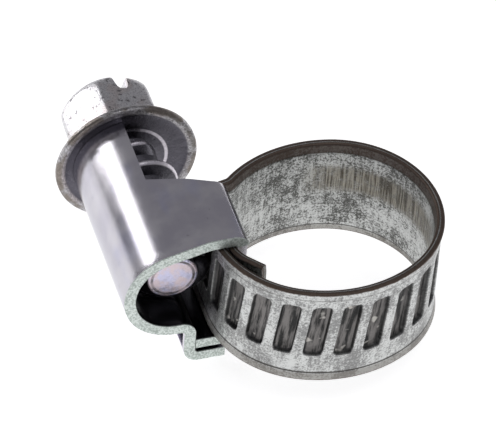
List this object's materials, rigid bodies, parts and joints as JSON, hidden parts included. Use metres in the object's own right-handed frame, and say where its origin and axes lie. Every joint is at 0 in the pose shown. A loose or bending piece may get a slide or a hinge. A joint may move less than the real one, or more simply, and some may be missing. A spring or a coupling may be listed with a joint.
{
  "type": "hose clamp",
  "caption": "Worm-drive hose clamp: grooved steel strip, one-piece folded housing and a slotted hex-head screw that draws the loop tight.",
  "frame": {"origin": "on the hose's axis at the middle of the band's width, where the axis is the centre of the loop's arc opposite the screw", "axes": "+Z along the hose's axis; +Y parallel to the screw, toward its head; the screw lies on the -X side"},
  "size_m": [0.0257, 0.0269, 0.0129],
  "materials": {
    "housing_sheet": "bright zinc plate, pale matte cut edges",
    "band_strip": "mottled zinc-coated strip, satin",
    "screw_steel": "zinc plate, slightly pitted"
  },
  "bodies": {
    "clamp_base": {"housing": "housing_sheet", "band_anchor": "band_strip"},
    "screw": {"worm_screw": "screw_steel"},
    "link_01": {"band_link_01": "band_strip"},
    "link_02": {"band_link_02": "band_strip"},
    "link_03": {"band_link_03": "band_strip"},
    "link_04": {"band_link_04": "band_strip"},
    "link_05": {"band_link_05": "band_strip"},
    "link_06": {"band_link_06": "band_strip"},
    "link_07": {"band_link_07": "band_strip"},
    "link_08": {"band_link_08": "band_strip"},
    "link_09": {"band_link_09": "band_strip"},
    "link_10": {"band_link_10": "band_strip"},
    "link_11": {"band_link_11": "band_strip"}
  },
  "joints": [
    {"name": "screw_turn", "type": "hinge", "parent": "clamp_base", "child": "screw", "pos_m": [-0.01245, 0.006, 0.0006], "axis": [0, -1, 0], "range_deg": [0, 990]},
    {"name": "strip_bend_01", "type": "hinge", "parent": "clamp_base", "child": "link_01", "pos_m": [-0.00639, 0.00497, 0], "axis": [0, 0, -1], "range_deg": [0, 6.22]},
    {"name": "strip_bend_02", "type": "hinge", "parent": "link_01", "child": "link_02", "pos_m": [-0.00263, 0.00689, 0], "axis": [0, 0, -1], "range_deg": [0, 4.18]},
    {"name": "strip_bend_03", "type": "hinge", "parent": "link_02", "child": "link_03", "pos_m": [0.00159, 0.00692, 0], "axis": [0, 0, -1], "range_deg": [0, 4.39]},
    {"name": "strip_bend_04", "type": "hinge", "parent": "link_03", "child": "link_04", "pos_m": [0.00519, 0.00484, 0], "axis": [0, 0, -1], "range_deg": [0, 5.11]},
    {"name": "strip_bend_05", "type": "hinge", "parent": "link_04", "child": "link_05", "pos_m": [0.00701, 0.0011, 0], "axis": [0, 0, -1], "range_deg": [0, 4.47]},
    {"name": "strip_bend_06", "type": "hinge", "parent": "link_05", "child": "link_06", "pos_m": [0.00643, -0.00302, 0], "axis": [0, 0, -1], "range_deg": [0, 2.72]},
    {"name": "strip_bend_07", "type": "hinge", "parent": "link_06", "child": "link_07", "pos_m": [0.00363, -0.0061, 0], "axis": [0, 0, -1], "range_deg": [0, 1.99]},
    {"name": "strip_bend_08", "type": "hinge", "parent": "link_07", "child": "link_08", "pos_m": [-0.00039, -0.00737, 0], "axis": [0, 0, -1], "range_deg": [0, 3.44]},
    {"name": "strip_bend_09", "type": "hinge", "parent": "link_08", "child": "link_09", "pos_m": [-0.00457, -0.00672, 0], "axis": [0, 0, -1], "range_deg": [0, 7.71]},
    {"name": "strip_bend_10", "type": "hinge", "parent": "link_09", "child": "link_10", "pos_m": [-0.00779, -0.00409, 0], "axis": [0, 0, -1], "range_deg": [0, 2.65], "deforming": ["band_link_10"]},
    {"name": "strip_bend_11", "type": "hinge", "parent": "link_10", "child": "link_11", "pos_m": [-0.009, -0.00011, 0], "axis": [0, 0, -1], "range_deg": [0, 3.99], "deforming": ["band_link_11"]}
  ],
  "couplings": [
    {"joint": "strip_bend_01", "follows": "screw_turn", "ratio": 0.00626},
    {"joint": "strip_bend_02", "follows": "screw_turn", "ratio": 0.0042},
    {"joint": "strip_bend_03", "follows": "screw_turn", "ratio": 0.00441},
    {"joint": "strip_bend_04", "follows": "screw_turn", "ratio": 0.00514},
    {"joint": "strip_bend_05", "follows": "screw_turn", "ratio": 0.00449},
    {"joint": "strip_bend_06", "follows": "screw_turn", "ratio": 0.00273},
    {"joint": "strip_bend_07", "follows": "screw_turn", "ratio": 0.00199},
    {"joint": "strip_bend_08", "follows": "screw_turn", "ratio": 0.00345},
    {"joint": "strip_bend_09", "follows": "screw_turn", "ratio": 0.00777},
    {"joint": "strip_bend_10", "follows": "screw_turn", "ratio": 0.00266},
    {"joint": "strip_bend_11", "follows": "screw_turn", "ratio": 0.00401}
  ]
}
